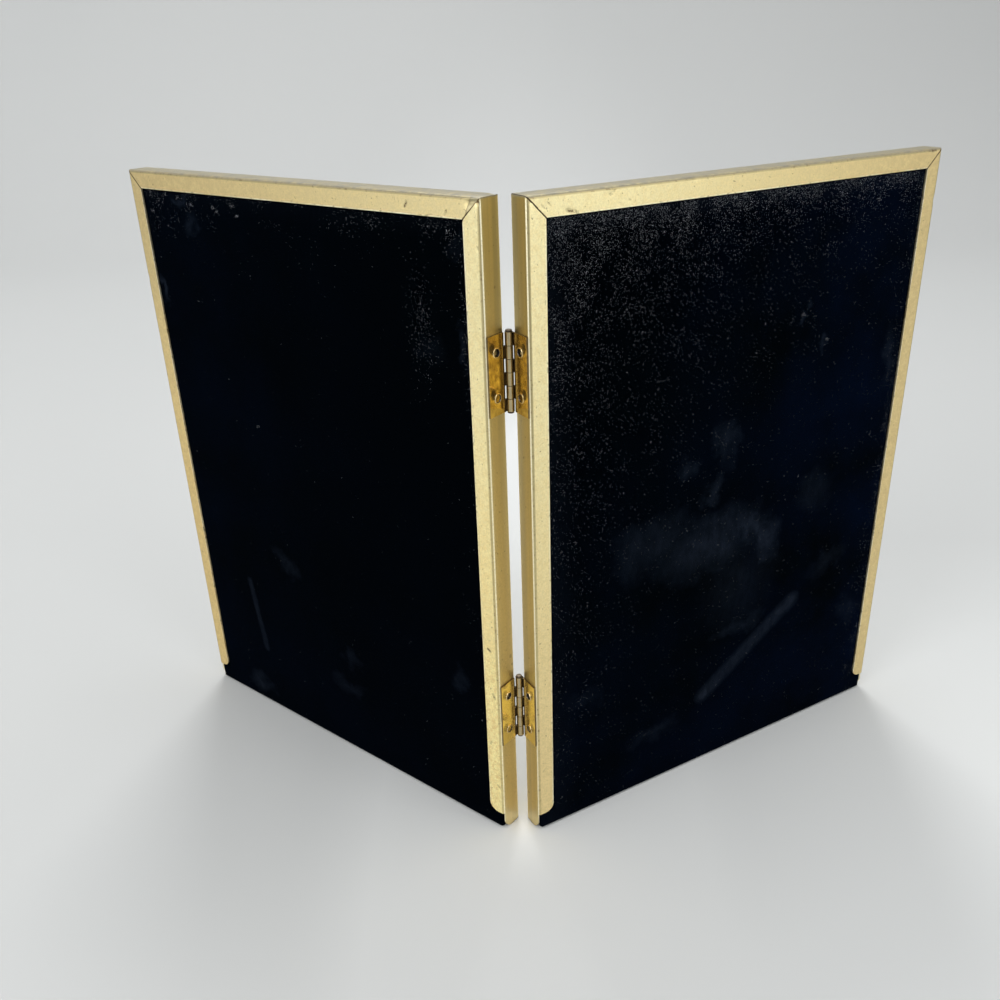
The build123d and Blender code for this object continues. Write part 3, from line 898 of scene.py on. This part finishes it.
def lint_right(u, z):
    """Dense in the upper corner at the hinge side, and along the top and both sides."""
    from_top, from_hinge, from_far = field_high - z, u - field_near, field_far - u
    clumps = 0.25 + 1.1 * max(0.0, 0.5 + noise.noise(Vector((u, 0, z)) / (6 * mm)))
    corner = 0.8 * math.exp(-from_top / (22 * mm) - from_hinge / (42 * mm))
    edges = 0.17 * math.exp(-from_hinge / (14 * mm)) * (0.15 + 0.85 * z / frame_height)
    rims = 1.1 * math.exp(-from_top / (3 * mm)) + 0.25 * math.exp(-from_far / (2 * mm))
    return clumps * (corner + edges + rims + 0.009)


def lint_left(u, z):
    """Sparse, but for the upper far corner and a few spots at the hinge side."""
    from_top, from_hinge, from_far = field_high - z, u - field_near, field_far - u
    clumps = max(0.0, 0.3 + 1.2 * noise.noise(Vector((u, 7 * mm, z)) / (5 * mm)))
    corner = math.exp(-from_top / (5 * mm) - from_far / (28 * mm))
    edges = (0.25 * math.exp(-from_top / (4 * mm))
             + 0.3 * math.exp(-from_hinge / (2 * mm)) * (0.2 + 0.8 * z / frame_height))
    spots = sum(0.5 * math.exp(-((u / mm - across) / wide) ** 2 - ((z / mm - height) / high) ** 2)
                for across, height, wide, high in lint_spots)
    return clumps * (corner + edges + 0.008) + spots

# %% Fibres, and the tufts they form here and there
tufts = {
    "right": [(63.4, 176.3), (60.2, 175.9), (112.5, 170.2), (87.7, 142.1), (98.1, 133.5)],
    "left": [(90.9, 109.5), (112.3, 175.1), (118.4, 176.0), (106.7, 173.5), (96.6, 173.4), (95.0, 172.4),
             (87.8, 174.5), (86.5, 171.8), (126.2, 170.7)],
}
fibre_length, fibre_radius, fibre_turn = 0.14 * mm, 0.025 * mm, math.radians(32)
fibres_in_tuft, fibres_at_once = 20, 150
long_share, long_times, turn_spread, most_tilt = 0.04, 3, 0.6, 0.12


def fibre(bm, tone, u, z, shade, draw):
    """One fibre, lying on the pile and leaning to the upper right as most of them do."""
    length = fibre_length * draw.uniform(0.5, 1.5) * (long_times if draw.random() < long_share else 1)
    turn = draw.gauss(fibre_turn, turn_spread)
    rest = pile_back - fibre_radius * draw.uniform(0.5, 2.0)
    lying = Euler((draw.uniform(-most_tilt, most_tilt), turn, 0)).to_matrix().to_4x4()
    thick_end = fibre_radius * draw.uniform(0.7, 1.4)
    made = bmesh.ops.create_cone(bm, cap_ends=True, segments=3, radius1=thick_end, radius2=fibre_radius / 3,
                                 depth=length, matrix=Matrix.Translation((u, rest, z)) @ lying)
    for vert in made["verts"]:
        vert[tone] = shade


def lint(side, density, count):
    """A mesh of fibres, made in small batches that are joined one after another."""
    draw = random.Random(side)
    places = []
    while len(places) < count:
        u, z = draw.uniform(field_near, field_far), draw.uniform(cover_low, field_high)
        if draw.random() < density(u, z):
            places.append((u, z, draw.uniform(0.1, 1.0) ** 2.2))
    for u, z in tufts[side]:
        for _ in range(fibres_in_tuft):
            across, height = u * mm + draw.gauss(0, 0.45 * mm), z * mm + draw.gauss(0, 0.3 * mm)
            places.append((across, height, draw.uniform(0.3, 0.9)))
    whole = bmesh.new()
    whole.verts.layers.float.new("tone")
    for start in range(0, len(places), fibres_at_once):
        batch = bmesh.new()
        tone = batch.verts.layers.float.new("tone")
        for u, z, shade in places[start:start + fibres_at_once]:
            fibre(batch, tone, u, z, shade, draw)
        take_in(whole, batch)
    return whole


def lint_finish():
    """Grey to white: each fibre keeps its own tone, and noise breaks it up."""
    m = recipe("lint")
    tone = m.add("Attribute", attribute_name="tone").outputs["Fac"]
    tone = m.times(tone, m.spread(m.noise(m.where, 900.0), 0.2, 0.8, 0.6, 1.2))
    colour = m.mix(tone, (0.012, 0.014, 0.018, 1), (0.72, 0.74, 0.78, 1))
    return m.surface(colour, 0.9, Specular_IOR_Level=0.1)

# %% Lint on both covers
fluff = lint_finish()
for side, density, count in (("left", lint_left, 2200), ("right", lint_right, 20000)):
    bm = lint(side, density, count)
    bmesh.ops.transform(bm, matrix=placing(side), verts=bm.verts)
    bmesh.ops.recalc_face_normals(bm, faces=bm.faces)
    fallen = new_piece(side + "_lint", bm, [fluff])
    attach(fallen, side + "_back")
    print(side, "lint:", len(fallen.data.polygons), "faces")

# %% [markdown]
# ## Butt hinges
# Each leaf is stamped from thin brass and its ends are rolled round the pin into eyes, three on one
# leaf and three on the other, which mesh like fingers. The blank is one flat face here. Slices mark
# out the eyes, the ends are spun round the pin's axis, and the sheet gets its thickness last.

# %% Hinge sizes
hinge_length, hinge_centres = 20.0 * mm, {"lower": 41.5 * mm, "upper": 140.5 * mm}
knuckles, knuckle_gap = 6, 0.12 * mm
leaf_thickness, leaf_back, notch = 0.45 * mm, 0.5 * mm, 0.3 * mm
root = axis_depth - barrel_radius - notch
rivet_spacing, rivet_depth = 11.3 * mm, 3.5 * mm
rivet_hole, cell = 1.15 * mm, 1.7 * mm
eye_turn, eye_steps = math.radians(296), 20
blank_low, blank_high = -hinge_length / 2, hinge_length / 2
knuckle_pitch = hinge_length / knuckles


def round_hole(bm, centre):
    """Cuts a square cell round the centre and joins its border to a round hole."""
    for axis in (1, 2):
        for edge in (centre[axis] - cell, centre[axis] + cell):
            plate = [f for f in bm.faces if f.calc_center_median().y < root]
            slices_at(bm, axis, [edge], parts_of(plate))
    square = min(bm.faces, key=lambda f: (f.calc_center_median() - centre).length)
    sides = list(square.edges)
    bmesh.ops.delete(bm, geom=[square], context="FACES_ONLY")
    bmesh.ops.subdivide_edges(bm, edges=sides, cuts=5)

    def on_border(vert):
        away = max(abs(vert.co.y - rivet_depth), abs(vert.co.z - centre.z))
        return abs(away - cell) < cell / 100

    border = [e for e in bm.edges if all(on_border(v) for v in e.verts)]
    facing = Matrix.Rotation(math.pi / 2, 4, "Y") @ Matrix.Rotation(math.pi / 4, 4, "Z")
    ring = bmesh.ops.create_circle(bm, cap_ends=False, radius=rivet_hole, segments=len(border),
                                   matrix=Matrix.Translation(centre) @ facing)["verts"]
    ring_edges = list({e for v in ring for e in v.link_edges})
    bmesh.ops.bridge_loops(bm, edges=border + ring_edges)


def hinge_leaf(first):
    """A leaf centred on z = 0, whose eyes are every second knuckle from the top, starting at first."""
    bm = bmesh.new()
    oblong(bm, 0, 0, (leaf_back, axis_depth), (blank_low, blank_high))
    slices_at(bm, 1, [root])
    for border in range(knuckles + 1):
        for shift in (-knuckle_gap / 2, knuckle_gap / 2):
            z = blank_high - border * knuckle_pitch + shift
            ahead = [f for f in bm.faces if f.calc_center_median().y > root]
            if blank_low < z < blank_high:
                slices_at(bm, 2, [z], parts_of(ahead))

    def cut_away(face):
        middle = face.calc_center_median()
        place = (blank_high - middle.z) / knuckle_pitch
        in_gap = abs(place % 1 - 0.5) > 0.5 - knuckle_gap / 2 / knuckle_pitch
        return middle.y > root and (int(place) % 2 != first or in_gap)

    bmesh.ops.delete(bm, geom=[f for f in bm.faces if cut_away(f)], context="FACES")
    for way in (-1, 1):
        round_hole(bm, Vector((0, rivet_depth, way * rivet_spacing / 2)))
    bmesh.ops.recalc_face_normals(bm, faces=bm.faces)
    if next(iter(bm.faces)).normal.x < 0:
        bmesh.ops.reverse_faces(bm, faces=bm.faces)
    ends = [e for e in bm.edges if all(abs(v.co.y - axis_depth) < touching for v in e.verts)]
    for end in ends:
        bmesh.ops.spin(bm, geom=[end, *end.verts], cent=(-barrel_radius, axis_depth, 0), axis=(0, 0, 1),
                       dvec=(0, 0, 0), angle=eye_turn, steps=eye_steps, use_merge=False,
                       use_duplicate=False, use_normal_flip=False)
    bmesh.ops.remove_doubles(bm, verts=bm.verts, dist=touching)
    bmesh.ops.solidify(bm, geom=bm.faces[:], thickness=leaf_thickness)
    bm.normal_update()
    # The leaf's cut edges take a dark material: painted shade for the thin shadow round a leaf.
    for face in bm.faces:
        if abs(face.normal.x) < 0.3 and face.calc_center_median().y < root:
            face.material_index = 1
    return bm

# %% [markdown]
# A pin with peened, slightly domed heads holds the eyes together. Hollow rivets fix the leaves to the side
# walls: from outside one sees a rounded rim, and a bore in its middle with shade painted dark into it.

# %% Pins and rivets, turned round their axes
pin_radius, pin_head_radius, pin_head_height, pin_rounding = 0.5 * mm, 0.85 * mm, 0.45 * mm, 0.3 * mm
pin_length = hinge_length + 0.1 * mm
rivet_head_radius, rivet_head_height, rivet_rounding = 1.35 * mm, 0.25 * mm, 0.15 * mm
rivet_shank, rivet_bore, bore_depth, flare = 1.1 * mm, 0.85 * mm, 0.95 * mm, 0.27 * mm
clinch_radius, clinch_height = 1.4 * mm, 0.2 * mm
turned_steps = 32


def turned_rod(bm, radius, low, high):
    """A cylinder on the z axis, as the list of its corners."""
    lift = Matrix.Translation((0, 0, (low + high) / 2))
    return bmesh.ops.create_cone(bm, cap_ends=True, segments=turned_steps, radius1=radius, radius2=radius,
                                 depth=high - low, matrix=lift)["verts"]


def hinge_pin():
    """A pin with a domed head at each end, on the joint's axis."""
    bm = bmesh.new()
    half = pin_length / 2
    turned_rod(bm, pin_radius, -half, half)
    for way in (-1, 1):
        ends = sorted((way * half, way * (half + pin_head_height)))
        head = turned_rod(bm, pin_head_radius, *ends)
        tip = max(ends, key=abs)
        at_tip = {v for v in head if abs(v.co.z - tip) < sheet / 100}
        rim = list({e for v in at_tip for e in v.link_edges if all(end in at_tip for end in e.verts)})
        rounded_off(bm, rim, pin_rounding, 5)
    bmesh.ops.translate(bm, verts=bm.verts, vec=(-barrel_radius, axis_depth, 0))
    return bm


def arc(centre, radius, start, stop, steps=5):
    """Points on an arc of a turned profile, as (radius, height)."""
    angles = [math.radians(start + (stop - start) * i / steps) for i in range(steps + 1)]
    return [(centre[0] + radius * math.cos(a), centre[1] + radius * math.sin(a)) for a in angles]


def hollow_rivet():
    """An eyelet on the z axis, with the leaf's outer face at z = 0."""
    inner, outer = rivet_bore + flare, rivet_head_radius - rivet_rounding
    rim = arc((inner, rivet_head_height - flare), flare, 180, 90)
    rim += arc((outer, rivet_head_height - rivet_rounding), rivet_rounding, 90, 0)
    profile = [(0, -bore_depth), (rivet_bore, -bore_depth), *rim, (rivet_head_radius, 0), (rivet_shank, 0)]
    profile += [(rivet_shank, -bore_depth), (clinch_radius, -bore_depth)]
    profile += [(clinch_radius, -bore_depth - clinch_height), (0, -bore_depth - clinch_height)]
    bm = bmesh.new()
    points = [bm.verts.new((r, 0, h)) for r, h in profile]
    drawn = [bm.edges.new(pair) for pair in zip(points, points[1:])]
    bmesh.ops.spin(bm, geom=points + drawn, cent=(0, 0, 0), axis=(0, 0, 1), dvec=(0, 0, 0),
                   angle=2 * math.pi, steps=turned_steps, use_merge=True, use_duplicate=False)
    bmesh.ops.remove_doubles(bm, verts=bm.verts, dist=touching)
    bmesh.ops.recalc_face_normals(bm, faces=bm.faces)
    # The faces inside the bore take a near-black metal: painted shade.
    for face in bm.faces:
        middle = face.calc_center_median()
        if middle.xy.length < rivet_bore + 0.75 * flare and middle.z > -bore_depth - sheet / 100:
            face.material_index = 1
    return bm

# %% [markdown]
# The leaves are polished brass that has tarnished to a warm golden brown, with faint scratches.
# Shade is painted onto the eyes' far sides, along the bends where the eyes leave the leaves and onto the
# leaves' cut edges, and dark patches are painted beside the rivets. The rivets are nickel, with shade painted
# dark into their bores.

# %% Brass and nickel
eye_brown, eye_shade = (0.50, 0.40, 0.23, 1), (0.07, 0.04, 0.02, 1)
low_brass, patch_brown = (1.0, 0.80, 0.32, 1), (0.09, 0.065, 0.03, 1)
patch_shown = {"lower": 0.5, "upper": 0.9}


def tarnish_and_shade(m, side, colour):
    """Brown eyes with painted shade on their far sides and along their roots, and dark patches beside the
    rivets.
    """
    where = m.own(side)
    _, depth, height = m.apart(where)
    colour = m.mix(m.spread(height, 70 * mm, 60 * mm, 0.0, 0.85), colour, low_brass)
    on_eye = m.spread(depth, root, root + notch)
    colour = m.mix(on_eye, colour, eye_brown)
    # Painted shade: each eye is painted darker on the sides that turn away from the back.
    from_pin = m.vector_maths("SUBTRACT", where, (-barrel_radius, axis_depth, 0))
    lit_side = m.vector_maths("DOT_PRODUCT", from_pin, (-math.sin(lean), -math.cos(lean), 0))
    eye_side_shade = m.spread(lit_side, 0.35 * barrel_radius, 0.75 * barrel_radius, 0.9, 0.0)
    colour = m.mix(m.times(on_eye, eye_side_shade), colour, eye_shade)
    # Painted shade: a dark band along the bend where the eyes leave the leaf.
    colour = m.mix(m.between(depth, root - 0.5 * mm, root + 0.2 * mm, 0.15 * mm), colour, eye_shade)
    # Dark patches beside each rivet, a little above it and towards the back.
    for level, height in hinge_centres.items():
        for way in (-1, 1):
            centre = (0, rivet_depth - 1.6 * mm, height + way * rivet_spacing / 2 + 1.3 * mm)
            away = m.vector_maths("LENGTH", m.mapped(where, centre, size=Vector((3, 1.1, 1.5)) * mm))
            colour = m.mix(m.spread(away, 0.7, 1.1, patch_shown[level], 0.0), colour, patch_brown)
    return colour


def brass_finish(name, bright, dark, smooth, side=None):
    """Clouded metal with fine scratches, for the leaves of one side with their tarnish and painted shade too.
    """
    m = recipe(name)
    cloud = m.spread(m.noise(m.where, 330.0, 6.0, 0.7), 0.40, 0.64)
    scratches = m.noise(m.stretched(m.where, (2500, 2500, 180)), 1.0, 2.0)
    colour = m.mix(cloud, bright, dark)
    if side:
        colour = tarnish_and_shade(m, side, colour)
    dull = m.plus(m.spread(cloud, 0.0, 1.0, smooth, smooth + 0.12),
                  m.spread(scratches, 0.55, 0.75, 0.0, 0.08))
    return m.surface(colour, dull, Metallic=1.0, Normal=m.bump(scratches, 0.004 * mm))


brass_bright, brass_dark = (0.90, 0.66, 0.20, 1), (0.40, 0.26, 0.07, 1)
brass = {side: brass_finish(side + "_tarnished_brass", brass_bright, brass_dark, 0.14, side)
         for side in ("left", "right")}
# Painted shade: a dark brass for the leaves' cut edges.
edge_shade_metal = brass_finish("shaded_leaf_edge", (0.20, 0.14, 0.06, 1), (0.10, 0.07, 0.03, 1), 0.4)
pin_metal = brass_finish("pin_brass", (0.14, 0.11, 0.08, 1), (0.07, 0.055, 0.04, 1), 0.4)
nickel = brass_finish("rivet_nickel", (0.85, 0.70, 0.42, 1), (0.62, 0.46, 0.22, 1), 0.16)
# Painted shade: a near-black metal inside the rivets' bores.
bore_shade_metal = brass_finish("rivet_bore", (0.11, 0.10, 0.095, 1), (0.025, 0.022, 0.02, 1), 0.2)

# %% Putting the hinges in their places
leaf_softness, leaf_edge_turn = 0.06 * mm, math.radians(50)
for level, height in hinge_centres.items():
    lift = Matrix.Translation((0, 0, height))
    finished(hinge_pin(), "left", level + "_hinge_pin", "left_frame", [pin_metal], lift)
    for side, first in (("left", 1), ("right", 0)):
        body = side + "_frame"
        leaf = finished(hinge_leaf(first), side, f"{level}_{side}_hinge_leaf", body,
                        [brass[side], edge_shade_metal], lift)
        soft_edges(leaf, leaf_softness, leaf_edge_turn)
        both = bmesh.new()
        for way in (-1, 1):
            one = hollow_rivet()
            seat = Matrix.Translation((-leaf_thickness, rivet_depth, height + way * rivet_spacing / 2))
            bmesh.ops.transform(one, matrix=seat @ Matrix.Rotation(-math.pi / 2, 4, "Y"), verts=one.verts)
            take_in(both, one)
        finished(both, side, f"{level}_{side}_rivets", body, [nickel, bore_shade_metal])
    print(level, "hinge, mm above the floor:", round(height / mm, 1))

# %% [markdown]
# ## What lies between the rails
# Behind the velvet come the board, a filler card, the picture and its glass. From behind they show
# only as dark edges, and from the front through the glass. Their CAD shapes are right as they are,
# so they only get finishes. The glass is made again with a narrow seam ground along its edges.

# %% Finishes for the pieces kept from the CAD model
def plain_finish(name, light, dark, scale, roughness, relief_scale, relief, metallic=0.0):
    """Two tones of noise and a fine relief."""
    m = recipe(name)
    tone = m.spread(m.noise(m.where, scale, 4.0), 0.35, 0.65)
    rough = m.bump(m.noise(m.where, relief_scale), relief)
    return m.surface(m.mix(tone, light, dark), roughness, Metallic=metallic, Normal=rough)


def coat(node, material):
    """Gives a CAD piece a finish in place of its plain colour."""
    node.data.materials.clear()
    node.data.materials.append(material)


kept = {
    "photo_insert": plain_finish("print_paper", (0.86, 0.84, 0.79, 1), (0.82, 0.80, 0.75, 1),
                                 20.0, 0.35, 1500.0, 0.004 * mm),
    "filler_card": plain_finish("grey_card", (0.40, 0.38, 0.34, 1), (0.36, 0.34, 0.30, 1),
                                2400.0, 0.85, 2500.0, 0.03 * mm),
    "back_board": plain_finish("hardboard", (0.24, 0.13, 0.06, 1), (0.17, 0.09, 0.04, 1),
                               500.0, 0.7, 1800.0, 0.04 * mm),
    "corner_angles": plain_finish("zinced_steel", (0.62, 0.63, 0.64, 1), (0.50, 0.51, 0.53, 1),
                                  150.0, 0.35, 900.0, 0.01 * mm, 1.0),
}

# %% [markdown]
# The panes are real glass that bends light. Such a pane would leave the print behind it in the dark,
# because few rays find their way through it to a lamp. So the panes cast no shadow and let diffuse
# light pass, and still show in reflections and to the camera.

# %% Glass panes, cut to the size of the CAD model's
def glass_finish():
    m = recipe("picture_glass")
    haze = m.spread(m.noise(m.where, 60.0, 5.0), 0.45, 0.8, 0.0, 0.05)
    return m.surface((0.99, 1.0, 0.995, 1), haze, IOR=1.5, Transmission_Weight=1.0)


clear_glass = glass_finish()
edge_seam = 0.2 * mm
for side in ("left", "right"):
    node = frame["nodes"][side + "_glass"]
    upright = placing(side).inverted() @ node.matrix_world
    corners = [upright @ v.co for v in node.data.vertices]
    low, high = (Vector([pick(c[i] for c in corners) for i in range(3)]) for pick in (min, max))
    print(side, "glass, mm:", [round(c / mm, 2) for c in high - low])
    bm = bmesh.new()
    slab = Matrix.Translation((low + high) / 2) @ Matrix.Diagonal((*(high - low), 1))
    bmesh.ops.create_cube(bm, size=1, matrix=slab)
    rounded_off(bm, bm.edges[:], edge_seam, 1)
    pane = finished(bm, side, side + "_glass", side + "_frame", [clear_glass])
    pane.data.shade_flat()
    pane.visible_shadow = pane.visible_diffuse = False

# %% Coats for the pieces kept from the CAD model
for side in ("left", "right"):
    for name, material in kept.items():
        coat(frame["nodes"][f"{side}_{name}"], material)
replaced = [node for node in frame["nodes"].values() if node.hide_render]
for node in replaced:
    coat(node, gold["left"])
print("CAD pieces with a finished one in their place:", len(replaced))
